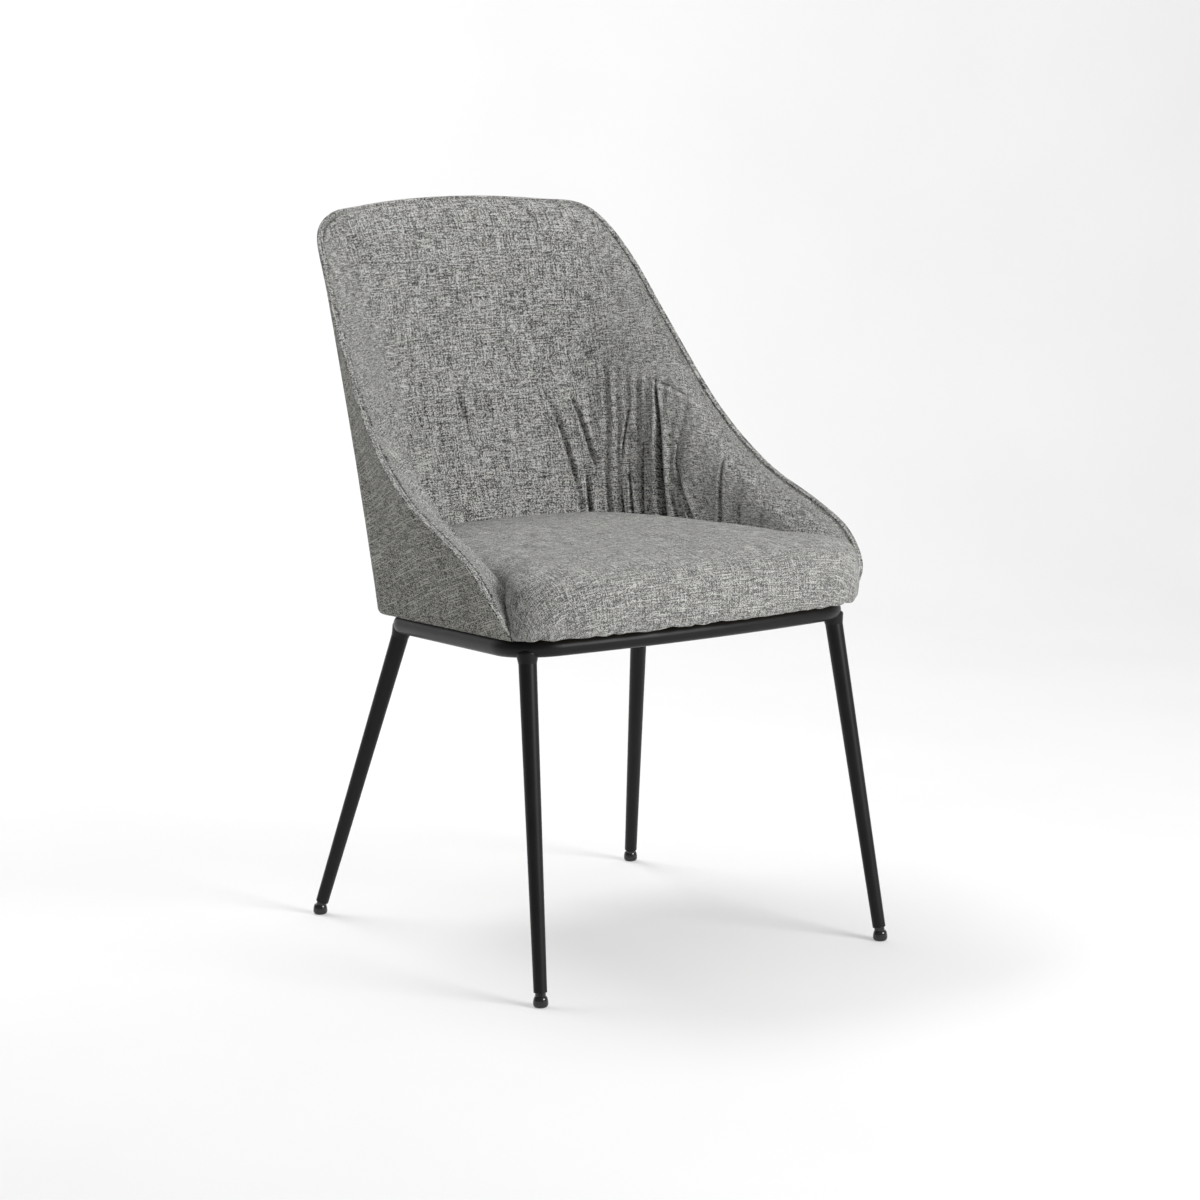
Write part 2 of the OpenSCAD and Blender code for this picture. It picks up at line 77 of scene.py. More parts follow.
TIP_Z = float(shell_bottom_z(TIP_Y))
RIM_H = RIM_TOP - TIP_Z
SEAT_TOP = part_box("seat_cover")[1].z
BOARD_TOP_H = BOARD_T + 0.5 * MM   # top of the seat board over the shell's bottom edge

# ------------------------------------------------------------------ the shell's ribs
# From the middle of the back to the wing's tip: [bottom x, bottom y, rim x, rim y,
# rim z] in percent of the shell's half width, depth and height, as in the CAD source.
RIBS = np.array([
    [0.0, 83.5, 0.0, 100.0, 100.0],
    [24.0, 83.0, 26.0, 99.5, 99.6],
    [47.0, 81.5, 50.0, 97.5, 98.5],
    [62.5, 78.0, 67.0, 94.5, 97.3],
    [70.0, 71.5, 77.5, 91.3, 92.6],
    [72.5, 63.0, 83.5, 83.2, 82.4],
    [75.5, 54.0, 88.5, 72.2, 66.4],
    [78.5, 43.0, 94.0, 55.2, 44.4],
    [81.5, 32.0, 97.5, 38.0, 30.5],
    [85.0, 20.0, 99.6, 20.0, 22.5],
    [88.0, 9.0, 99.8, 8.5, 16.5],
    [89.5, 3.0, 97.5, 1.5, 8.0],
    [89.5, 0.0, 89.5, 0.0, 0.0],
]) / 100
# The cushion's front lip from its middle to its corner: [x, y] in percent of the
# shell's half width and of the lip's depth in front of the wing tips.
LIP = np.array([[0, 100], [28, 98.5], [53, 92], [72, 76], [84, 49], [90, 12],
                [90.3, -14], [88.2, -38]]) / 100
LIP_DEPTH = 57 * MM


def clamp01(x):
    return np.clip(x, 0.0, 1.0)


def ease(x):
    """Smooth step from 0 to 1."""
    c = clamp01(x)
    return c * c * (3 - 2 * c)


def bump(x):
    """Smooth hill of height 1 and half width 1 about 0."""
    return np.exp(-np.square(x) * 1.6)


def unit(v):
    return v / np.maximum(np.linalg.norm(v, axis=-1, keepdims=True), 1e-12)


def spline(rows, mirror, t):
    """Catmull-Rom through rows, t from 0 at the first to 1 at the last. Before the first
    row comes the second one, mirrored by the signs in mirror."""
    last = len(rows) - 1
    table = np.vstack([rows[1] * mirror, rows, 2 * rows[-1] - rows[-2]])
    x = clamp01(t) * last
    i = np.minimum(np.floor(x).astype(int), last - 1)
    f = (x - i)[..., None]
    a, b, c, d = (table[i + k] for k in range(4))
    return (2 * b + (c - a) * f + (2 * a - 5 * b + 4 * c - d) * f**2
            + (3 * b - a - 3 * c + d) * f**3) / 2


def rib_at(s):
    """The row of RIBS at s."""
    return spline(RIBS, np.array([-1, 1, -1, 1, 1]), np.abs(s))


def hand(s):
    return np.where(s < 0, -1.0, 1.0)


def bottom_at(s):
    r = rib_at(s)
    y = TIP_Y + r[..., 1] * SHELL_DEPTH
    return np.stack([hand(s) * r[..., 0] * HALF_W, y, shell_bottom_z(y)], -1)


def rim_at(s):
    r = rib_at(s)
    return np.stack([hand(s) * r[..., 2] * HALF_W, TIP_Y + r[..., 3] * SHELL_DEPTH,
                     TIP_Z + r[..., 4] * RIM_H], -1)


def inward(s):
    """Level direction square to the shell, from its outside towards the sitter."""
    e = 0.004
    u = np.clip(s, e - 1, 1 - e)
    t = 0.8 * (bottom_at(u + e) - bottom_at(u - e)) + 0.2 * (rim_at(u + e) - rim_at(u - e))
    return unit(np.stack([t[..., 1], -t[..., 0], np.zeros_like(t[..., 0])], -1))


def towards(s):
    """Level direction in which the lining lies over the shell."""
    a = math.radians(82) * np.sin(np.pi / 2 * clamp01(np.abs(s) / 0.5))
    return np.stack([-hand(s) * np.sin(a), -np.cos(a), np.zeros_like(a)], -1)


def rim_height(s):
    """Length of the rib from the shell's bottom edge to the rim's line."""
    return np.linalg.norm(rim_at(s) - bottom_at(s), axis=-1)


def up_rib(s, h):
    b = bottom_at(s)
    return b + h[..., None] * unit(rim_at(s) - b)


# Thickness of the upholstery in mm, as in the CAD pad: low and high on the middle of the
# back, where the back turns, on the wings, the least of these, and at the very bottom.
# CORNER_FILL is the extra stuffing in the corners between the back and the wings.
PAD_LOW, PAD_HIGH, PAD_TURN, PAD_WING, PAD_LEAST, PAD_FOOT = 56, 36, 45, 38, 16, 18
CORNER_FILL = 20


def upholstery_t(s, h):
    """Full thickness of the upholstery, away from the rim."""
    turn = ease((np.abs(s) - 0.08) / 0.22)
    side = ease((np.abs(s) - 0.38) / 0.20)
    up = ease((h / MM - 110) / 230)
    centre = PAD_LOW * (1 - up) + PAD_HIGH * up
    tip = ease((1 - np.abs(s)) / 0.14)
    rear = centre * (1 - turn) + PAD_TURN * turn
    body = (rear * (1 - side) + PAD_WING * side) * (0.4 + 0.6 * tip)
    low = ease((h / MM + 10) / 75)
    fill = CORNER_FILL * bump((np.abs(s) - 0.285) / 0.15) * (
        1 - 0.6 * ease((h / MM - 120) / 230))
    return (PAD_FOOT * (1 - low) + (np.maximum(body, PAD_LEAST) + fill) * low) * MM


def rim_distance(s, h):
    """Distance from the rim's line, across the plain shell."""
    samples = 601
    p = up_rib(s, h)
    line = rim_at(np.linspace(-1, 1, samples))
    out = np.empty(s.shape)
    for i in range(len(s)):
        gap = p[i][..., None, :] - line
        out[i] = np.sqrt(np.square(gap).sum(-1).min(-1))
    return out


def lining_skin(s, h):
    """Depth of the lining's face inside the shell's outer face, without its folds: thin
    at the rim seam, rolling off to the full thickness."""
    wide = (34 + 50 * ease((rim_height(s) / MM - 90) / 260)) * MM
    g = clamp01((rim_distance(s, h) - 1 * MM) / wide)
    full = upholstery_t(s, h)
    return EDGE_D + np.maximum(full - EDGE_D, 0) * (1 - (1 - g) ** 2.2) ** 0.62


# ------------------------------------------------------------------ mesh building
def face_outwards(mesh):
    """Turns a closed mesh the right way out, by the sign of its volume."""
    mesh.calc_loop_triangles()
    corners = np.zeros(3 * len(mesh.loop_triangles), int)
    mesh.loop_triangles.foreach_get("vertices", corners)
    places = np.zeros(3 * len(mesh.vertices))
    mesh.vertices.foreach_get("co", places)
    a, b, c = places.reshape(-1, 3)[corners.reshape(-1, 3)].transpose(1, 0, 2)
    if np.sum(a * np.cross(b, c)) < 0:
        mesh.flip_normals()
        mesh.update()


def make_mesh(name, points, faces, uvs=None, closed=True):
    """An object from points, faces and, for each point, its place on the flat cloth."""
    mesh = bpy.data.meshes.new(name)
    mesh.from_pydata(np.asarray(points).tolist(), [], faces)
    mesh.update()
    if closed:
        face_outwards(mesh)
    if uvs is not None:
        layer = mesh.uv_layers.new(name="cloth")
        loops = np.zeros(len(mesh.loops), int)
        mesh.loops.foreach_get("vertex_index", loops)
        layer.data.foreach_set("uv", np.asarray(uvs)[loops].astype(np.float32).ravel())
    mesh.polygons.foreach_set("use_smooth", [True] * len(mesh.polygons))
    obj = bpy.data.objects.new(name, mesh)
    bpy.context.scene.collection.objects.link(obj)
    return obj


def ring_quads(n, k, flip=False):
    """Quads between n closed rings of k points each."""
    i, j = np.arange(n - 1)[:, None] * k, np.arange(k)[None, :]
    w = (j + 1) % k
    near, far = (i + j, i + w), (i + k + j, i + k + w)
    corners = [near[0], near[1], far[1], far[0]] if flip else [near[0], far[0], far[1], near[1]]
    return np.stack(corners, -1).reshape(-1, 4)


def running_length(points):
    """Length from the first point of a line to each of its points."""
    return np.concatenate([[0], np.cumsum(np.linalg.norm(np.diff(points, axis=0), axis=1))])


def slab(name, face, back, uvs, back_uvs=None):
    """A closed piece between a front and a back sheet of points, [station, level, xyz].
    Each station's two rows of points make one closed ring."""
    back_uvs = uvs if back_uvs is None else back_uvs
    ring = np.concatenate([face, back[:, ::-1]], 1)
    flat = np.concatenate([uvs, back_uvs[:, ::-1]], 1)
    n, k = ring.shape[:2]
    faces = ring_quads(n, k).tolist()
    faces += [list(range(k)), list(range(n * k - 1, (n - 1) * k - 1, -1))]
    return make_mesh(name, ring.reshape(-1, 3), faces, flat.reshape(-1, 2))


def tube(name, centre, across, up, profile):
    """Sweeps a closed profile of [across, up] points along a line, with flat ends."""
    ring = (centre[:, None] + across[:, None] * profile[None, :, :1]
            + up[:, None] * profile[None, :, 1:])
    n, k = ring.shape[:2]
    faces = ring_quads(n, k, flip=True).tolist()
    faces += [list(range(k))[::-1], list(range((n - 1) * k, n * k))]
    along, round_it = running_length(centre), running_length(profile)
    uvs = np.stack(np.broadcast_arrays(along[:, None], round_it[None, :]), -1)
    return make_mesh(name, ring.reshape(-1, 3), faces, uvs.reshape(-1, 2))


def grid_normals(p):
    """Unit normals of a grid of points, [station, level, xyz]."""
    return unit(np.cross(np.gradient(p, axis=0), np.gradient(p, axis=1)))


def arc_lengths(p, axis):
    """Running length along one axis of a grid of points."""
    step = np.linalg.norm(np.diff(p, axis=axis), axis=-1)
    zero = np.zeros_like(np.take(step, [0], axis=axis))
    return np.concatenate([zero, np.cumsum(step, axis=axis)], axis=axis)


def smooth_rows(p, reach):
    """Rounds a grid of points along its stations, over about reach metres, ends kept."""
    step = 2 * MM
    out = p.copy()
    for j in range(p.shape[1]):
        run = running_length(p[:, j])
        even = np.arange(0, run[-1] + step, step)
        line = np.stack([np.interp(even, run, p[:, j, k]) for k in range(3)], -1)
        half = int(3 * reach / step)
        kernel = np.exp(-np.square(np.arange(-half, half + 1) * step / reach) / 2)
        kernel /= kernel.sum()
        padded = np.concatenate([2 * line[0] - line[half:0:-1], line,
                                 2 * line[-1] - line[-2:-half - 2:-1]])
        soft = np.stack([np.convolve(padded[:, k], kernel, "valid") for k in range(3)], -1)
        out[:, j] = np.stack([np.interp(run, even, soft[:, k]) for k in range(3)], -1)
    return out


def value_noise(x, y, seed):
    """Smooth noise from -1 to 1, with features one unit across. It repeats after size."""
    size = 256
    table = np.random.default_rng(seed).uniform(-1, 1, (size, size))
    xi, yi = np.floor(x).astype(int), np.floor(y).astype(int)
    fx, fy = ease(x - xi), ease(y - yi)
    x0, x1, y0, y1 = xi % size, (xi + 1) % size, yi % size, (yi + 1) % size
    a, b, c, d = table[x0, y0], table[x1, y0], table[x0, y1], table[x1, y1]
    return (a * (1 - fx) + b * fx) * (1 - fy) + (c * (1 - fx) + d * fx) * fy


def dense(lo, hi, count, centres, width, gain):
    """count values from lo to hi, gain times closer together near the centres."""
    steps = 6000
    fine = np.linspace(lo, hi, steps)
    weight = 1 + sum((gain - 1) * np.exp(-((fine - c) / width) ** 2) for c in centres)
    run = np.concatenate([[0], np.cumsum((weight[1:] + weight[:-1]) / 2)])
    return np.interp(np.linspace(0, run[-1], count), run, fine)


# ------------------------------------------------------------------ node materials
class Nodes:
    """A short way to write a shader node tree."""

    def __init__(self, name):
        self.material = bpy.data.materials.new(name)
        self.material.use_nodes = True
        self.tree = self.material.node_tree
        self.tree.nodes.clear()
        self.shader = self.add("ShaderNodeBsdfPrincipled")
        out = self.add("ShaderNodeOutputMaterial")
        self.link(self.shader.outputs[0], out.inputs[0])

    def add(self, kind, **settings):
        node = self.tree.nodes.new(kind)
        for key, value in settings.items():
            setattr(node, key, value)
        return node

    def link(self, source, target):
        self.tree.links.new(source, target)

    def feed(self, socket, value):
        if isinstance(value, bpy.types.NodeSocket):
            self.link(value, socket)
        else:
            socket.default_value = value

    def cloth(self):
        """Place on the flat cloth, in metres."""
        return self.add("ShaderNodeUVMap", uv_map="cloth").outputs[0]

    def place(self):
        """Place on the object, in metres."""
        return self.add("ShaderNodeTexCoord").outputs["Object"]

    def stretched(self, vector, size, turn=0.0, shift=(0, 0, 0)):
        """vector in units of size, one size for each axis."""
        node = self.add("ShaderNodeMapping", vector_type="TEXTURE")
        self.feed(node.inputs["Vector"], vector)
        node.inputs["Scale"].default_value = size
        node.inputs["Rotation"].default_value = (0, 0, turn)
        node.inputs["Location"].default_value = [a * b for a, b in zip(shift, size)]
        return node.outputs[0]

    def noise(self, vector, detail=2.0, roughness=0.5, distortion=0.0):
        node = self.add("ShaderNodeTexNoise")
        self.feed(node.inputs["Vector"], vector)
        node.inputs["Scale"].default_value = 1.0
        node.inputs["Detail"].default_value = detail
        node.inputs["Roughness"].default_value = roughness
        node.inputs["Distortion"].default_value = distortion
        return node.outputs["Fac"]

    def math(self, operation, a, b=0.0, clamp=False):
        node = self.add("ShaderNodeMath", operation=operation, use_clamp=clamp)
        self.feed(node.inputs[0], a)
        self.feed(node.inputs[1], b)
        return node.outputs[0]

    def remap(self, value, lo, hi):
        """Smooth step from 0 at lo to 1 at hi."""
        node = self.add("ShaderNodeMapRange", interpolation_type="SMOOTHSTEP")
        self.feed(node.inputs["Value"], value)
        for name, x in {"From Min": lo, "From Max": hi, "To Min": 0.0, "To Max": 1.0}.items():
            node.inputs[name].default_value = x
        return node.outputs[0]

    def mix(self, factor, a, b):
        node = self.add("ShaderNodeMix", data_type="FLOAT")
        self.feed(node.inputs[0], factor)
        self.feed(node.inputs[2], a)
        self.feed(node.inputs[3], b)
        return node.outputs[0]

    def ramp(self, value, stops):
        """Colour by value, from a list of (place, colour)."""
        node = self.add("ShaderNodeValToRGB")
        elements = node.color_ramp.elements
        while len(elements) < len(stops):
            elements.new(0.5)
        for element, (place, colour) in zip(elements, stops):
            element.position = place
            element.color = (*colour, 1)
        self.feed(node.inputs[0], value)
        return node.outputs[0]

    def parts(self, vector):
        node = self.add("ShaderNodeSeparateXYZ")
        self.feed(node.inputs[0], vector)
        return node.outputs

    def relief(self, height, distance, strength=1.0):
        node = self.add("ShaderNodeBump")
        node.inputs["Distance"].default_value = distance
        node.inputs["Strength"].default_value = strength
        self.feed(node.inputs["Height"], height)
        self.link(node.outputs[0], self.shader.inputs["Normal"])

    def surface(self, colour, rough):
        self.link(colour, self.shader.inputs["Base Color"])
        self.link(rough, self.shader.inputs["Roughness"])


def fabric(name, stops, contrast, streaks, slub_l=22 * MM, slope=0.0):
    """A melange plain weave: each yarn has light and dark lengths, and a few yarns have
    long pale slubs. slope turns the slubs from the cloth's own direction."""
    n = Nodes(name)
    cloth = n.cloth()
    pitch = 1.0 * MM               # of the yarns
    thread_share, speck_share, bar_share, patch_share = 0.36, 0.42, 0.22, 0.10
    grid = n.stretched(cloth, (pitch, pitch, 1))
    cell = n.add("ShaderNodeVectorMath", operation="FLOOR")
    n.link(grid, cell.inputs[0])
    place, index = n.parts(grid), n.parts(cell.outputs[0])
    speck = n.add("ShaderNodeTexWhiteNoise", noise_dimensions="2D")
    n.link(cell.outputs[0], speck.inputs["Vector"])

    def yarn(along, number, length, turn):
        vector = n.add("ShaderNodeCombineXYZ")
        n.link(n.math("MULTIPLY", along, pitch / length), vector.inputs[0])
        n.link(n.math("MULTIPLY", number, turn), vector.inputs[1])
        return n.noise(vector.outputs[0], 1.0, 0.6)

    weft = yarn(place[0], index[1], 2.1 * MM, 7.31)
    warp = yarn(place[1], index[0], 1.8 * MM, 5.17)
    over = n.math("FLOORED_MODULO", n.math("ADD", index[0], index[1]), 2.0)
    threads = n.mix(over, warp, weft)
    weft_bars = n.noise(n.stretched(cloth, (26 * MM, 1.5 * MM, 1), shift=(2.2, 5.1, 0)), 1.0)
    warp_bars = n.noise(n.stretched(cloth, (1.6 * MM, 34 * MM, 1), shift=(6.4, 1.3, 0)), 1.0)
    bars = n.math("ADD", n.math("MULTIPLY", weft_bars, 0.5), n.math("MULTIPLY", warp_bars, 0.5))
    slub = n.noise(n.stretched(cloth, (slub_l, 1.6 * MM, 1), slope, (3.1, 9.2, 0)), 0.0)
    slub = n.remap(slub, 0.60, 0.72)
    patch = n.noise(n.stretched(cloth, (60 * MM, 45 * MM, 1)), 2.0, 0.5)
    value = n.math("ADD", n.math("MULTIPLY", n.remap(threads, 0.36, 0.64), thread_share),
                   n.math("MULTIPLY", speck.outputs["Value"], speck_share))
    value = n.math("ADD", value, n.math("MULTIPLY", n.remap(bars, 0.40, 0.60), bar_share))
    value = n.remap(value, 0.5 - contrast, 0.5 + contrast)
    value = n.math("ADD", value, n.math("MULTIPLY", slub, streaks))
    patch = n.math("MULTIPLY", n.math("SUBTRACT", patch, 0.5), patch_share)
    value = n.math("ADD", value, patch, clamp=True)
    n.surface(n.ramp(value, stops), n.mix(value, 0.98, 0.86))
    n.shader.inputs["Specular IOR Level"].default_value = 0.15
    n.shader.inputs["Sheen Weight"].default_value = 0.08
    n.shader.inputs["Sheen Roughness"].default_value = 0.6
    across = n.math("ABSOLUTE", n.math("SINE", n.math("MULTIPLY", place[0], math.pi)))
    up = n.math("ABSOLUTE", n.math("SINE", n.math("MULTIPLY", place[1], math.pi)))
    height = n.math("ADD", n.math("MULTIPLY", n.mix(over, across, up), 0.5),
                    n.math("MULTIPLY", value, 0.5))
    n.relief(height, 0.35 * MM, 0.8)
    return n.material


GREY = fabric("grey_weave", [(0.0, (0.020, 0.020, 0.0193)), (0.5, (0.146, 0.145, 0.140)),
                             (1.0, (0.53, 0.525, 0.503))], contrast=0.27, streaks=0.38)
GREY_SEAT = fabric("grey_weave_seat", [(0.0, (0.045, 0.045, 0.044)), (0.5, (0.18, 0.179, 0.172)),
                                       (1.0, (0.52, 0.515, 0.49))], contrast=0.42, streaks=0.38)
# The outer panel's copy of the weave. Its darker tone is painted shade, for the side that faces
# away from the key light. Its warmer tint and long slanted slubs are the cloth's own.
SIDE_WEAVE_PAINTED_SHADE = fabric("grey_weave_side_painted_shade", [(0.0, (0.010, 0.010, 0.009)), (0.5, (0.098, 0.097, 0.087)),
                                       (1.0, (0.45, 0.443, 0.40))], contrast=0.24, streaks=0.60,
                   slub_l=70 * MM, slope=-0.26)


def powder_coat():
    """Satin black powder coat, with its fine orange-peel and a little wear."""
    n = Nodes("black_powder_coat")
    place = n.place()
    peel = n.noise(n.stretched(place, (0.9 * MM,) * 3), 2.0, 0.55)
    cloud = n.noise(n.stretched(place, (35 * MM,) * 3), 3.0, 0.5)
    rub = n.remap(n.noise(n.stretched(place, (6 * MM, 6 * MM, 14 * MM)), 4.0, 0.6), 0.62, 0.74)
    tone = n.math("ADD", n.math("MULTIPLY", cloud, 0.6), n.math("MULTIPLY", peel, 0.4))
    n.surface(n.ramp(tone, [(0.2, (0.004, 0.004, 0.0044)), (0.8, (0.009, 0.009, 0.0094))]),
              n.math("ADD", n.mix(cloud, 0.34, 0.46), n.math("MULTIPLY", rub, 0.10)))
    n.shader.inputs["Specular IOR Level"].default_value = 0.2
    n.relief(peel, 0.06 * MM, 0.5)
    return n.material


def moulded(name, colour, rough):
    """Moulded plastic with faint flow marks and scuffs."""
    n = Nodes(name)
    place = n.place()
    flow = n.noise(n.stretched(place, (9 * MM, 9 * MM, 3 * MM)), 3.0, 0.5)
    scuff = n.remap(n.noise(n.stretched(place, (1.2 * MM, 1.2 * MM, 0.5 * MM)), 3.0), 0.55, 0.7)
    n.surface(n.ramp(flow, [(0.3, colour), (0.7, tuple(1.6 * c for c in colour))]),
              n.math("ADD", n.math("MULTIPLY", scuff, 0.18), rough))
    n.relief(flow, 0.05 * MM, 0.3)
    return n.material


def zinc():
    """Zinc-plated steel with a spangled, slightly brushed finish."""
    n = Nodes("zinc_plate")
    place = n.place()
    spangle = n.noise(n.stretched(place, (2.2 * MM,) * 3), 4.0, 0.6, 0.4)
    n.surface(n.ramp(spangle, [(0.3, (0.42, 0.42, 0.43)), (0.7, (0.62, 0.62, 0.61))]),
              n.mix(spangle, 0.28, 0.48))
    n.shader.inputs["Metallic"].default_value = 1.0
    n.relief(spangle, 0.05 * MM, 0.4)
    return n.material


def plywood():
    """Birch plywood: long grain on the faces and dark glue lines through its thickness."""
    n = Nodes("birch_plywood")
    place = n.place()
    grain = n.noise(n.stretched(place, (60 * MM, 2.2 * MM, 2.2 * MM)), 4.0, 0.6, 0.6)
    ply = n.math("SINE", n.math("MULTIPLY", n.parts(place)[2], 2 * math.pi / (1.5 * MM)))
    value = n.math("ADD", grain, n.math("MULTIPLY", n.remap(ply, 0.4, 1.0), -0.18))
    n.surface(n.ramp(value, [(0.25, (0.33, 0.20, 0.10)), (0.75, (0.66, 0.49, 0.30))]),
              n.mix(grain, 0.55, 0.75))
    n.relief(grain, 0.15 * MM, 0.5)
    return n.material


def non_woven():
    """Thin black non-woven cloth, with its pattern of pressed dots."""
    n = Nodes("black_non_woven")
    place = n.place()
    parts = n.parts(n.stretched(place, (1.6 * MM / math.pi,) * 3))
    dots = n.math("MULTIPLY", n.math("SINE", parts[0]), n.math("SINE", parts[1]))
    fibres = n.noise(n.stretched(place, (0.6 * MM, 3 * MM, 1 * MM)), 3.0, 0.6)
    n.surface(n.ramp(fibres, [(0.3, (0.012, 0.012, 0.012)), (0.7, (0.035, 0.035, 0.036))]),
              n.mix(fibres, 0.8, 0.95))
    n.relief(n.math("ADD", n.math("MULTIPLY", dots, 0.5), fibres), 0.2 * MM, 0.6)
    return n.material


def thread():
    """Dark twisted sewing thread."""
    n = Nodes("dark_thread")
    place = n.place()
    twist = n.noise(n.stretched(place, (0.5 * MM,) * 3), 2.0)
    n.surface(n.ramp(twist, [(0.3, (0.13, 0.13, 0.124)), (0.7, (0.32, 0.32, 0.305))]),
              n.mix(twist, 0.7, 0.9))
    n.relief(twist, 0.1 * MM, 0.5)
    return n.material


COAT, GLIDE, ZINC = powder_coat(), moulded("black_glide", (0.008, 0.008, 0.008), 0.16), zinc()
PLYWOOD, CAMBRIC, THREAD = plywood(), non_woven(), thread()


def finish_piece(obj, material):
    """Gives a piece its material and slot and sets it on the body."""
    obj.data.materials.clear()
    obj.data.materials.append(material)
    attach(obj, "root")


# ------------------------------------------------------------------ back lining
LINING_S = 0.94                    # the lining ends here, near the wing's tip
PAD_LO = BOARD_TOP_H + 0.6 * MM    # it stands on the seat board
EDGE_DROP = 1.8 * MM               # and its upper edge is this far below the rim's line
MID_ROW = 40                       # row of points at mid height, which places the folds


class Crease:
    """A fold in the lining: points (s, h in mm), depth and half width in mm, top to bottom."""

    def __init__(self, path, depth, width, mirrored=0.0):
        self.path = np.array(path, float)
        self.depth, self.width, self.mirrored = depth, width, mirrored


CREASES = [
    Crease([(0.12, 275), (0.14, 252), (0.16, 230), (0.18, 205), (0.20, 180), (0.215, 155),
            (0.235, 125)], (0, 4, 7, 8, 7.5, 6, 2), (1.6, 1.8, 2.1, 2.3, 2.5, 2.6, 2.6), 0.35),
    Crease([(0.275, 155), (0.285, 125), (0.295, 80)], (0, 5, 7), (1.6, 2.0, 2.4), 0.35),
    Crease([(0.195, 262), (0.228, 245), (0.26, 225), (0.29, 200), (0.318, 172), (0.335, 150)],
           (0, 5, 7, 7.5, 6, 0), (1.6, 1.8, 2.1, 2.3, 2.3, 2.3), 0.35),
    Crease([(0.365, 170), (0.367, 80)], (0, 3.5), (2.2, 2.8), 0.8),
    Crease([(0.455, 240), (0.438, 212), (0.424, 182), (0.418, 165)],
           (0, 4.5, 5.5, 0), (1.4, 1.7, 1.8, 1.8), 0.8),
    Crease([(0.412, 142), (0.412, 80)], (0, 7), (1.3, 1.8), 0.8),
    Crease([(0.436, 162), (0.436, 127), (0.438, 80)], (0, 6, 8), (1.4, 1.8, 2.3), 0.8),
    Crease([(0.484, 200), (0.474, 157), (0.462, 80)], (0, 5, 6.5), (2.2, 2.6, 3.0), 0.8),
    Crease([(0.504, 268), (0.508, 245), (0.513, 215), (0.515, 185), (0.517, 80)],
           (2, 10, 14, 16, 18), (1.2, 1.9, 2.7, 4.0, 6.4), 0.8),
    Crease([(0.530, 138), (0.548, 80)], (0, 8), (2.0, 3.0), 0.9),
    Crease([(0.550, 197), (0.546, 158), (0.556, 128), (0.580, 80)],
           (0, 5.5, 9, 11), (1.4, 1.9, 2.6, 3.4), 0.9),
    Crease([(0.622, 180), (0.626, 150), (0.634, 80)], (0, 5, 6.5), (1.3, 1.8, 2.2), 0.9),
    Crease([(0.660, 145), (0.670, 80)], (0, 4), (2.0, 2.6), 0.9),
    Crease([(0.698, 132), (0.706, 80)], (0, 3.5), (2.0, 2.8), 0.9),
    Crease([(-0.082, 284), (-0.062, 262), (-0.056, 236), (-0.056, 200)],
           (0, 5.4, 6.2, 0), (1.8, 2.3, 2.8, 3.2)),
    Crease([(-0.012, 272), (0.004, 242), (0.012, 205)], (0, 5.2, 0), (2.0, 2.6, 3.2)),
    Crease([(0.036, 280), (0.056, 250), (0.072, 220)], (0, 4.4, 0), (2.0, 2.6, 3.2)),
    Crease([(0.090, 266), (0.112, 212)], (3.4, 0), (2.2, 3.2)),
    Crease([(-0.145, 276), (-0.150, 240), (-0.160, 190)], (0, 4.2, 0), (2.0, 2.8, 3.4)),
]
# The dart's seam, from the head of the deepest crease out to the rim
DART = np.array([(0.498, 266), (0.522, 259), (0.540, 251), (0.560, 241), (0.580, 229)])


def crease_relief(s, h, x, run):
    """Depth of all the folds, in metres. x is the place round the shell at mid height,
    in metres, and run is x as a function of s."""
    hm = h / MM
    total = np.zeros_like(s)
    for c in CREASES:
        order = np.argsort(c.path[:, 1])
        hs = c.path[order, 1]
        at = np.interp(hm, hs, c.path[order, 0])
        depth = np.interp(hm, hs, np.array(c.depth)[order], right=0.0)
        width = np.interp(hm, hs, np.array(c.width)[order])
        for side, share in ((1, 1.0), (-1, c.mirrored)):
            if share == 0.0:
                continue
            away = (x - run(side * at)) / MM / width
            fold = -np.exp(-np.abs(away) ** 1.5)
            lip = 0.30 * bump((away - 2.7) / 2.3) + 0.24 * bump((away + 2.6) / 2.1)
            total += share * depth * (fold + lip) * MM
    return total


def ripples(s, h, x):
    """Soft upright gathers across the lower half of the back, under the line where the
    cloth is drawn in."""
    hm = h / MM
    body = ease((285 - hm) / 60) * ease((hm - 60) / 60)
    sway = 1.6 * value_noise(s * 3, hm / 120, seed=5)
    fine = value_noise(x / (10 * MM) + sway, hm / 320, seed=11)
    broad = value_noise(x / (26 * MM) + sway * 0.4, hm / 220, seed=12)
    front = 1 - ease((np.abs(s) - 0.72) / 0.12)
    top = bump((hm - 262) / 26)
    gathers = (2.2 + 2.8 * ease((0.1 - s) / 0.2)) * fine + 2.4 * broad
    return (body * front * gathers + top * front * 1.7 * fine) * MM


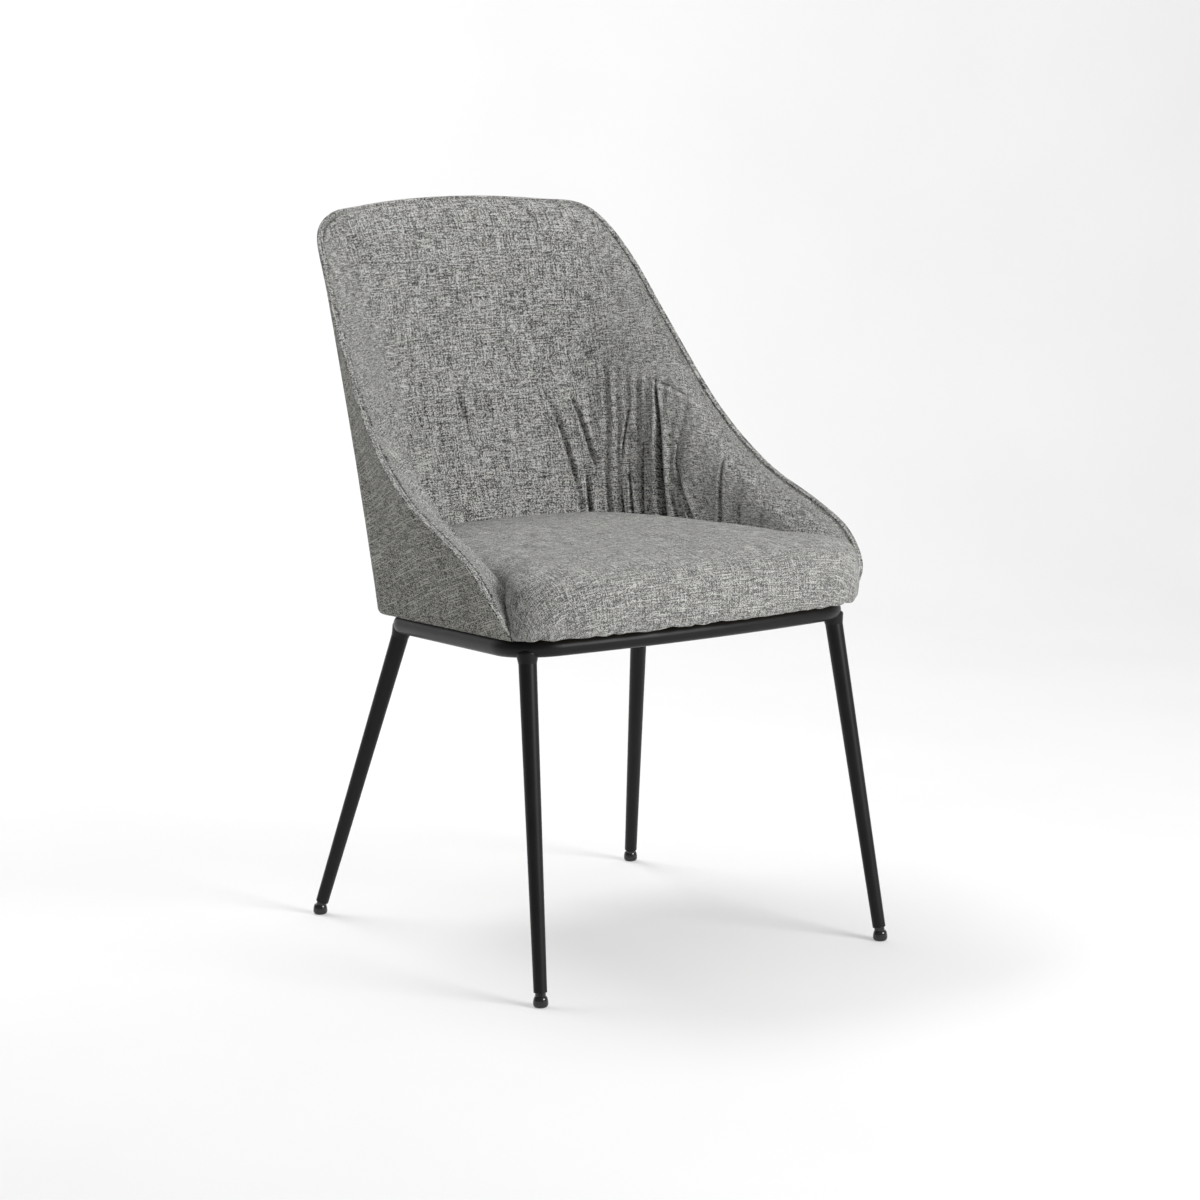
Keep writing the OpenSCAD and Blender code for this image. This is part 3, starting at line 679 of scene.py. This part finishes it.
def lining():
    """Padded cloth inside the back and wings: the CAD pad's face, rounded, with its folds.
    Returns its stations, heights and plain face, which the cushion is fitted to."""
    roll = 28 * MM                 # height below the rim in which the cloth rolls over
    pad_back = 10.5 * MM           # depth of its hidden face inside the shell's outer face
    centres = [side * point for c in CREASES for point in c.path[:, 0]
               for side in ((1, -1) if c.mirrored else (1,))]
    s1 = dense(-LINING_S, LINING_S, count=820, centres=centres, width=0.010, gain=2.2)
    body_rows, roll_rows = 92, 20
    body_share = dense(0, 1, body_rows, centres=[0.92], width=0.12, gain=2.2)
    roll_share = np.sin(np.linspace(0, np.pi / 2, roll_rows + 1))[1:]
    s = np.repeat(s1[:, None], body_rows + roll_rows, 1)
    rim = (rim_height(s1) - EDGE_DROP)[:, None]
    body_top = np.maximum(rim - roll, PAD_LO + 2 * MM)
    h = np.concatenate([PAD_LO + (body_top - PAD_LO) * body_share,
                        body_top + (rim - body_top) * roll_share], 1)
    rim = rim[:, 0]
    skin = lining_skin(s, h)
    p = up_rib(s, h) + skin[..., None] * towards(s)
    inside = ease((rim_distance(s, h) - 8 * MM) / (50 * MM))
    inside *= ease((LINING_S - np.abs(s)) / 0.12)
    p += inside[..., None] * (smooth_rows(p, 24 * MM) - p)
    mid_row = arc_lengths(p, 0)[:, MID_ROW]
    x = (mid_row - np.interp(0, s1, mid_row))[:, None] + np.zeros_like(h)

    def run(at):
        return np.interp(at, s1, x[:, 0])

    normal = grid_normals(p)
    normal *= np.sign((normal * towards(s)).sum(-1).mean())
    hm = h / MM
    fade = ease((rim[:, None] - h) / (30 * MM))
    pouch = ease((292 - hm) / 34) * (1 - ease((np.abs(s) - 0.62) / 0.2))
    crown = 4.0 * MM * pouch
    nowhere = -999
    dart_h = np.interp(np.abs(s), DART[:, 0], DART[:, 1], left=nowhere, right=nowhere)
    dart = -2.2 * bump((hm - dart_h) / 1.7) + 1.0 * bump((hm - dart_h + 6) / 4)
    dart *= ease((np.abs(s) - 0.497) / 0.008) * (1 - ease((np.abs(s) - 0.572) / 0.01))
    soft = (0.5 * value_noise(x / (70 * MM), hm / 60, seed=21)
            + 0.15 * value_noise(x / (26 * MM), hm / 24, seed=22))
    lift = crown + crease_relief(s, h, x, run) + ripples(s, h, x) + soft * fade * MM
    lift = lift * np.clip(fade, 0.15, 1) + dart * MM
    face = p + normal * lift[..., None]
    across = arc_lengths(p, 0)
    across -= across[len(s1) // 2][None, :]
    uvs = np.stack([across, arc_lengths(p, 1)], -1)
    few = np.linspace(0, s.shape[1] - 1, 8).astype(int)
    deep = np.minimum(pad_back, skin * 0.8)[:, few]
    back = up_rib(s[:, few], h[:, few]) + deep[..., None] * inward(s[:, few])
    obj = slab("back_lining", face, back, uvs, uvs[:, few])
    finish_piece(obj, GREY)
    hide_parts("inner_cover", "back_pad")
    return s1, h, p


LINING_STATIONS, LINING_H, LINING_FACE = lining()


# ------------------------------------------------------------------ outer panel
def outer_panel():
    """Cloth drawn tight round the outside, turned under at the bottom and stapled."""
    n, low_rows, rows, flap = 420, 12, 56, 12
    thickness = 1.2 * MM
    foot_in, top_in, proud = 2.4 * MM, 1.5 * MM, 0.4 * MM    # depths in and out of the shell
    s = np.linspace(-COVER_S, COVER_S, n)[:, None]
    top = rim_height(s) - 1.4 * MM
    foot, bend = -1.7 * MM, 6.5 * MM
    low_h = foot + bend * (1 - np.cos(np.linspace(0, np.pi / 2, low_rows, endpoint=False)))
    h = np.concatenate([np.tile(low_h, (n, 1)),
                        foot + bend + (top - foot - bend) * np.linspace(0, 1, rows)], 1)
    arcs = arc_lengths(up_rib(s, h), 0)
    x = np.broadcast_to(arcs[:, low_rows:low_rows + 1], h.shape)
    low = clamp01(1 - (h - foot) / bend)
    high = clamp01(1 - (top - h) / (9 * MM))
    d = foot_in * (1 - np.sqrt(1 - low**2)) + top_in * high**2 - proud
    hem_pull = bump(h / (18 * MM)) * value_noise(x / (19 * MM), h * 0, seed=31)
    wave = value_noise(x / (90 * MM), h / (70 * MM), seed=32) * ease(h / (30 * MM))
    d -= (0.5 * np.abs(hem_pull) + 0.35 * np.abs(wave)) * MM * ease((h - foot) / bend)
    face = up_rib(s, h) + d[..., None] * inward(s)
    in_by = (2.0 + 13 * np.linspace(1, 0, flap, endpoint=False))[None, :] * MM
    hem = up_rib(s, np.full((n, flap), foot)) + in_by[..., None] * inward(s)
    face = np.concatenate([hem, face], 1)
    normal = grid_normals(face)
    normal *= np.sign((normal[:, flap + 20:] * inward(s)).sum(-1).mean())
    back = face + normal * thickness
    v = arc_lengths(face, 1)
    uvs = np.stack([np.broadcast_to(x[:, :1], v.shape), v], -1)
    obj = slab("outer_panel", face, back, uvs)
    # The outer panel's weave is darkened as painted shade, for the side facing away from the key
    # light.
    finish_piece(obj, SIDE_WEAVE_PAINTED_SHADE)
    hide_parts("outer_cover")


outer_panel()


# ------------------------------------------------------------------ rim seam
def rim_frame(s):
    """Centre line of the rim seam, its direction inward, and its direction up and out."""
    across = inward(s)
    centre = rim_at(s) + SEAM_IN * across
    run = unit(np.gradient(rim_at(s), axis=0))
    up = unit(np.cross(run, across))
    up *= np.sign((up * (rim_at(s) - bottom_at(s))).sum(-1))[:, None]
    return centre, across, up


VALLEY = 0.62                      # height of the stitched valley, as a share of a ridge


def twin_profile(r, spread, count=14):
    """Two round ridges side by side, with the stitched valley between them."""
    a = np.linspace(-math.radians(35), math.pi, count)
    right = np.stack([spread + r * np.cos(a), r * np.sin(a)], -1)
    left = right[::-1] * [-1, 1]
    keep = right[:, 0] > 0.18 * r
    right, left = right[keep], left[::-1][keep][::-1]
    flange = spread + 4.2 * MM     # the cloth goes on under both covers
    base = np.array([[-spread, -1.1 * r], [flange, -2.4 * r], [flange, -0.75 * r]])
    return np.concatenate([right, [[0.0, VALLEY * r]], left, base])


def rim_seam():
    """The welt along the rim, in the place of the CAD piping."""
    s = np.linspace(-COVER_S, COVER_S, 520)
    centre, across, up = rim_frame(s)
    obj = tube("rim_seam", centre, across, up, twin_profile(1.95 * MM, 1.9 * MM))
    finish_piece(obj, GREY)
    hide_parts("piping")


rim_seam()


def stitches(name, points, normals, pitch, length, radius, sink):
    """Short thread stitches laid end to end along a line of points."""
    run = running_length(points)
    starts = np.arange(pitch / 2, run[-1] - pitch, pitch)
    sides, rings = 6, np.array([0.0, 0.12, 0.5, 0.88, 1.0])
    fat = np.array([0.25, 0.85, 1.0, 0.85, 0.25])    # each ring's share of the radius

    def at(values, t):
        return np.stack([np.interp(t, run, values[:, k]) for k in range(3)], -1)

    verts, faces = [], []
    for start in starts:
        t = start + length * rings
        c = at(points, t)
        nrm = unit(at(normals, t))
        d = unit(np.gradient(c, axis=0))
        side = unit(np.cross(d, nrm))
        c = c + nrm * (sink + radius * 0.6 * np.sin(np.pi * rings))[:, None]
        base = len(verts)
        for k in range(len(rings)):
            for q in range(sides):
                a = 2 * math.pi * q / sides
                spoke = math.cos(a) * side[k] + math.sin(a) * nrm[k]
                verts.append(c[k] + radius * fat[k] * spoke)
        faces += (base + ring_quads(len(rings), sides, flip=True)).tolist()
        faces.append([base + q for q in range(sides)][::-1])
        faces.append([base + (len(rings) - 1) * sides + q for q in range(sides)])
    finish_piece(make_mesh(name, verts, faces), THREAD)


seam_centre, _, seam_up = rim_frame(np.linspace(-STITCH_S, STITCH_S, 900))
stitches("rim_stitches", seam_centre, seam_up,
         pitch=4.2 * MM, length=3.0 * MM, radius=0.32 * MM, sink=1.25 * MM)


# ------------------------------------------------------------------ seat cushion
CUSHION_GAP = 0.6 * MM             # between the cushion's side and the lining
SLIT = 2.6 * MM                    # added to the gap beside each wing's end
SIDE_END = 0.86                    # s at which the front lip takes over from the side
MIDDLE_Y = TIP_Y + 0.3 * SHELL_DEPTH    # the crown's centre


def cushion_outline(count):
    """Plan outline of the cushion, [x, y, how far it is front lip], evenly spaced, from the
    front middle round the right side."""
    lip = spline(LIP, np.array([-1, 1]), np.linspace(0, 1, 120))
    lip = np.stack([lip[:, 0] * HALF_W, TIP_Y - lip[:, 1] * LIP_DEPTH], -1)
    s = SIDE_END * (1 - np.linspace(0, 1, 200))
    h = np.minimum(90 * MM, 0.72 * (rim_height(s) - EDGE_IN))
    side = np.empty((len(s), 2))
    for i in range(len(s)):
        k = np.searchsorted(LINING_STATIONS, s[i])
        side[i] = [np.interp(h[i], LINING_H[k], LINING_FACE[k, :, axis]) for axis in (0, 1)]
    side += (CUSHION_GAP + SLIT * ease((s - 0.7) / 0.1))[:, None] * towards(s)[:, :2]
    half = np.concatenate([lip, side])
    run = running_length(half)
    even = np.linspace(0, run[-1], 261)
    lip_run = run[len(lip) - 1]
    x, y = np.interp(even, run, half[:, 0]), np.interp(even, run, half[:, 1])
    rear = ease((even - lip_run) / (120 * MM) - 0.5)[1:-1]
    for k in range(50):            # rounds the joint first, then only the rear
        share = rear if k > 5 else 1.0
        for line in (x, y):
            line[1:-1] += share * (line[:-2] - 2 * line[1:-1] + line[2:]) / 4
    close = dense(0, run[-1], count // 2 + 1, centres=[lip_run - 8 * MM], width=16 * MM, gain=6)
    front = 1 - ease((close - lip_run) / (30 * MM) + 0.5)
    path = spline(np.stack([x, y], -1), np.array([-1, 1]), close / run[-1])
    right = np.column_stack([path, front])
    return np.concatenate([right, right[-2:0:-1] * [-1, 1, 1]])


def end_groove(y, z):
    """Depth of the slit in the cushion's side, along the end of each wing."""
    deep, half_width, fade = 12.0 * MM, 1.9 * MM, 10 * MM
    low, high, middle, lean = 428 * MM, 484 * MM, 468 * MM, 0.55
    line = TIP_Y + 21.5 * MM + lean * (z - middle)
    return deep * bump((y - line) / half_width) * ease((high - z) / fade) * (
        ease((z - low) / fade))


# Section of the cushion from its middle to its hem: [share of the outline, drop below
# the crown in mm], then the side runs down to the hem.
CROWN = np.array([[0.0, 0], [0.12, 0.1], [0.35, 0.7], [0.60, 2.4], [0.78, 5.4], [0.88, 8.8],
                  [0.94, 12.6], [0.975, 17.5], [0.995, 25.0], [1.0, 33.0]])
CROWN_REACH = 200                  # mm from the middle to the side, to space the rows
TURN_DROP = 14 * MM                # below this drop the cloth's length is counted downwards
SKIRT = 15.5 * MM                  # the lip's hem hangs this far below the board's top
HEM_IN, HEM_DOWN = 3.2 * MM, 1.6 * MM    # how far the hem's round edge goes in and down
TUCK_IN = 26 * MM                  # cloth turned in under the lip


def cushion():
    """The seat cushion: rings from its crown down its side, round the hem and under."""
    count = 900
    outline = cushion_outline(count)
    centre = np.array([0, MIDDLE_Y])
    run = running_length(outline[:, :2])
    t = np.linspace(0.03, 1, 44) ** 0.8
    knots = np.concatenate([[0], np.cumsum(np.hypot(np.diff(CROWN[:, 0]) * CROWN_REACH,
                                                    np.diff(CROWN[:, 1])))])
    share = np.interp(t * knots[-1], knots, CROWN[:, 0])
    drop = np.interp(t * knots[-1], knots, CROWN[:, 1]) * MM
    plan = outline[:, :2]
    lip = outline[:, 2]
    out = unit(np.stack([np.gradient(plan[:, 1]), -np.gradient(plan[:, 0])], -1))
    out *= np.sign((out * (plan - centre)).sum(-1).mean())
    rows, flat = [], []
    for k in range(len(t)):
        xy = centre + (plan - centre) * share[k]
        z = np.full(count, SEAT_TOP) - drop[k]
        rows.append(np.column_stack([xy, z]))
        flat.append(xy + out * max(drop[k] - TURN_DROP, 0))
    board_z = shell_bottom_z(plan[:, 1]) + BOARD_TOP_H
    hem_z = board_z + 0.3 * MM - (SKIRT + 0.2 * MM) * lip
    # Tucks about 31 mm apart along the hem, stronger and weaker, with fine pleats between
    pulls = run / (31 * MM) + 0.8 * value_noise(run / (55 * MM), run * 0, seed=41)
    tuck = (1 - 2 * np.abs(np.sin(np.pi * pulls))) * (
        0.6 + 0.6 * value_noise(run / (40 * MM), run * 0 + 0.5, seed=45))
    pleat = value_noise(run / (9 * MM), run * 0, seed=42)
    side_rows = 34
    top_z = rows[-1][:, 2]
    for k in range(1, side_rows + 1):
        f = k / side_rows
        z = top_z + (hem_z - top_z) * f
        above = (z - hem_z) / MM
        swell = 2.6 * np.sin(np.pi * f ** 0.9) - 3.2 * ease((f - 0.78) / 0.22) ** 2
        wrinkle = -(1.2 * tuck + 0.8 * pleat) * np.exp(-above / 10)
        z = z + lip * (0.9 * tuck + 0.5 * pleat) * MM * ease((f - 0.8) / 0.2)
        inset = (swell + wrinkle) * lip * MM
        xy = plan + out * (inset - end_groove(plan[:, 1], z))[:, None]
        rows.append(np.column_stack([xy, z]))
        flat.append(plan + out * ((drop[-1] - TURN_DROP) + (top_z - z))[:, None])
    last = rows[-1]
    for k in range(1, 9):
        a = math.pi / 2 * k / 8
        xy = last[:, :2] - out * HEM_IN * math.sin(a)
        z = last[:, 2] - HEM_DOWN * math.sin(a) * (1 - 0.5 * math.sin(a))
        rows.append(np.column_stack([xy, z]))
        flat.append(flat[-1] + out * 0.5 * MM)
    last = rows[-1]
    for k in range(1, 6):
        xy = last[:, :2] - out * TUCK_IN * k / 5
        rows.append(np.column_stack([xy, last[:, 2] + 1.0 * MM * k / 5]))
        flat.append(flat[-1] + out * TUCK_IN / 5)
    inner = rows[-1].copy()
    inner[:, 2] = board_z + 6 * MM
    rows.append(inner)
    flat.append(flat[-1])
    p = np.stack(rows, 0)
    uv = np.stack(flat, 0)
    n, m = p.shape[:2]
    soft = (0.9 * value_noise(p[..., 0] / (80 * MM) + 9, p[..., 1] / (70 * MM), seed=43)
            + 0.3 * value_noise(p[..., 0] / (24 * MM) + 5, p[..., 1] / (24 * MM), seed=44))
    crown_rows = len(t)
    fade = np.concatenate([np.ones(crown_rows), np.linspace(1, 0, n - crown_rows)])
    p[..., 2] += soft * fade[:, None] * MM
    points = np.concatenate([p.reshape(-1, 3), [[0, MIDDLE_Y, SEAT_TOP]],
                             [[0, MIDDLE_Y, float(inner[:, 2].mean())]]])
    flat_uv = np.concatenate([uv.reshape(-1, 2), [[0, MIDDLE_Y]], [[0, MIDDLE_Y]]])
    faces = ring_quads(n, m).tolist()
    for j in range(m):
        w = (j + 1) % m
        faces.append([n * m, j, w])
        faces.append([n * m + 1, (n - 1) * m + w, (n - 1) * m + j])
    obj = make_mesh("seat_cushion", points, faces, flat_uv)
    finish_piece(obj, GREY_SEAT)
    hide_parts("seat_cover", "seat_foam")


cushion()


# ------------------------------------------------------------------ cloth under the seat
def under_cloth():
    """The thin black cloth stapled to the underside of the seat board. It keeps the CAD
    cloth's outline, hangs slack between the crossbars and puckers along its edge."""
    seat_x, seat_y = np.array([1, 0, 0]), np.array([0, math.cos(TILT), -math.sin(TILT)])
    seat_up = np.array([0, math.sin(TILT), math.cos(TILT)])
    cad = np.array([v.co[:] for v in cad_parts["dust_cover"].data.vertices])
    x, y, up = cad @ seat_x, cad @ seat_y, cad @ seat_up
    low, thick = up.min(), up.max() - up.min()
    mid_y = (y.min() + y.max()) / 2
    count, rings = 300, 40
    a = np.linspace(-math.pi, math.pi, count, endpoint=False)
    directions = 2880
    facing = np.linspace(-math.pi, math.pi, directions, endpoint=False)
    reach = (x[:, None] * np.cos(facing) + (y - mid_y)[:, None] * np.sin(facing)).max(0)
    edge = (reach / np.maximum(np.cos(a[:, None] - facing), 0.01)).min(1)
    edge = edge * (1 - 0.004 * np.abs(value_noise(a * 22, a * 0, seed=51)))
    share = np.linspace(0.04, 1, rings)[:, None]
    px, py = edge * share * np.cos(a), edge * share * np.sin(a)
    clear = ease((edge * (1 - share) - 24 * MM) / (40 * MM))
    slack = clear * (1 - ease((np.abs(py) - 55 * MM) / (25 * MM)))
    ripple = value_noise(px / (38 * MM), py / (26 * MM), seed=52)
    sag = slack * (1.6 + 0.9 * ripple) * MM
    pucker = bump((edge * (1 - share) - 3 * MM) / (6 * MM)) * (
        0.5 + 0.5 * np.sin(a * 64 + 2 * value_noise(a * 6, a * 0, seed=53))) * 0.3 * MM
    level = low + 0.05 * MM + pucker - sag

    def placed(z):
        return (px[..., None] * seat_x + (py + mid_y)[..., None] * seat_y + z[..., None] * seat_up)

    under, over = placed(level), placed(level + 0.55 * thick)
    points = np.concatenate([under.reshape(-1, 3), over.reshape(-1, 3),
                             [under[0].mean(0)], [over[0].mean(0)]])
    top = rings * count
    faces = []
    for j in range(count):
        w = (j + 1) % count
        for k in range(rings - 1):
            i, o = k * count, (k + 1) * count
            faces.append([i + j, i + w, o + w, o + j])
            faces.append([top + i + j, top + o + j, top + o + w, top + i + w])
        outer = (rings - 1) * count
        faces.append([outer + j, outer + w, top + outer + w, top + outer + j])
        faces.append([2 * top, w, j])
        faces.append([2 * top + 1, top + j, top + w])
    obj = make_mesh("under_cloth", points, faces)
    finish_piece(obj, CAMBRIC)
    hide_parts("dust_cover")


under_cloth()


# ------------------------------------------------------------------ carried CAD nodes
FINISH = {
    "base_ring": COAT, "crossbar_front": COAT, "crossbar_rear": COAT,
    "mount_bolts": ZINC, "washers": ZINC, "tee_nuts": ZINC, "staples": ZINC,
    "shell_screws": ZINC, "seat_board": PLYWOOD, "back_shell": PLYWOOD,
}
for end in ("front", "rear"):
    for side in ("left", "right"):
        FINISH[f"leg_{end}_{side}"] = COAT
        FINISH[f"glide_{end}_{side}"] = GLIDE
for node, material in FINISH.items():
    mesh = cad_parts[node].data
    mesh.materials.clear()
    mesh.materials.append(material)


# ------------------------------------------------------------------ floor, light, camera
CAMERA_AZIMUTH = -35.35            # degrees, with the elevation, as solved from the photo
CAMERA_ELEVATION = 9.70
CAMERA_DISTANCE = 4.375
CAMERA_AIM = Vector((0.0070, -0.0305, 0.4121))
LENS = 108.64


def studio():
    """A pale floor that bends up behind the chair, facing the camera, and its lights."""
    n = Nodes("pale_floor")
    cloud = n.noise(n.stretched(n.place(), (0.4,) * 3), 2.0)
    n.surface(n.ramp(cloud, [(0.3, (0.55, 0.55, 0.55)), (0.7, (0.57, 0.57, 0.57))]),
              n.mix(cloud, 0.85, 0.95))
    n.shader.inputs["Emission Color"].default_value = (1, 1, 1, 1)
    n.shader.inputs["Emission Strength"].default_value = 0.31
    bend, near, far, high, wide = 1.2, -6.0, 3.2, 6.0, 9.0
    profile = [(near, 0.0)] + [(far - bend + bend * math.sin(a), bend - bend * math.cos(a))
                               for a in np.linspace(0, math.pi / 2, 16)] + [(far, high)]
    turn = math.radians(CAMERA_AZIMUTH)
    points = []
    for side in (-wide, wide):
        for along, z in profile:
            points.append((side * math.cos(turn) - along * math.sin(turn),
                           side * math.sin(turn) + along * math.cos(turn), z))
    k = len(profile)
    faces = [[i, k + i, k + i + 1, i + 1] for i in range(k - 1)]
    floor = make_mesh("floor", points, faces, closed=False)
    floor.data.materials.append(n.material)

    def area(name, place, aim, size, power):
        light = bpy.data.lights.new(name, "AREA")
        light.shape, light.size, light.energy = "DISK", size, power
        obj = bpy.data.objects.new(name, light)
        obj.location = place
        obj.rotation_euler = (Vector(aim) - Vector(place)).to_track_quat("-Z", "Y").to_euler()
        bpy.context.scene.collection.objects.link(obj)

    area("key", (1.25, -3.2, 1.65), (0, 0, 0.45), size=1.7, power=123)
    area("top", (0.1, -0.1, 3.0), (0, 0, 0.4), size=2.4, power=17)
    area("back_wall", (-0.6, 1.6, 3.4), (-1.2, 3.0, 0.8), size=2.0, power=100)
    world = bpy.data.worlds.new("studio")
    world.use_nodes = True
    world.node_tree.nodes["Background"].inputs[0].default_value = (1, 1, 1, 1)
    world.node_tree.nodes["Background"].inputs[1].default_value = 0.26
    bpy.context.scene.world = world
    bpy.context.scene.view_settings.view_transform = "Standard"


def camera():
    """The photo's camera."""
    a, e = math.radians(CAMERA_AZIMUTH), math.radians(CAMERA_ELEVATION)
    back = Vector((math.sin(a) * math.cos(e), -math.cos(a) * math.cos(e), math.sin(e)))
    data = bpy.data.cameras.new("camera")
    data.lens, data.sensor_width = LENS, 36.0
    data.shift_x, data.shift_y = 0.0025, -0.0038
    data.clip_end = 50
    obj = bpy.data.objects.new("camera", data)
    obj.location = CAMERA_AIM + back * CAMERA_DISTANCE
    obj.rotation_euler = (-back).to_track_quat("-Z", "Y").to_euler()
    bpy.context.scene.collection.objects.link(obj)
    bpy.context.scene.camera = obj


studio()
camera()
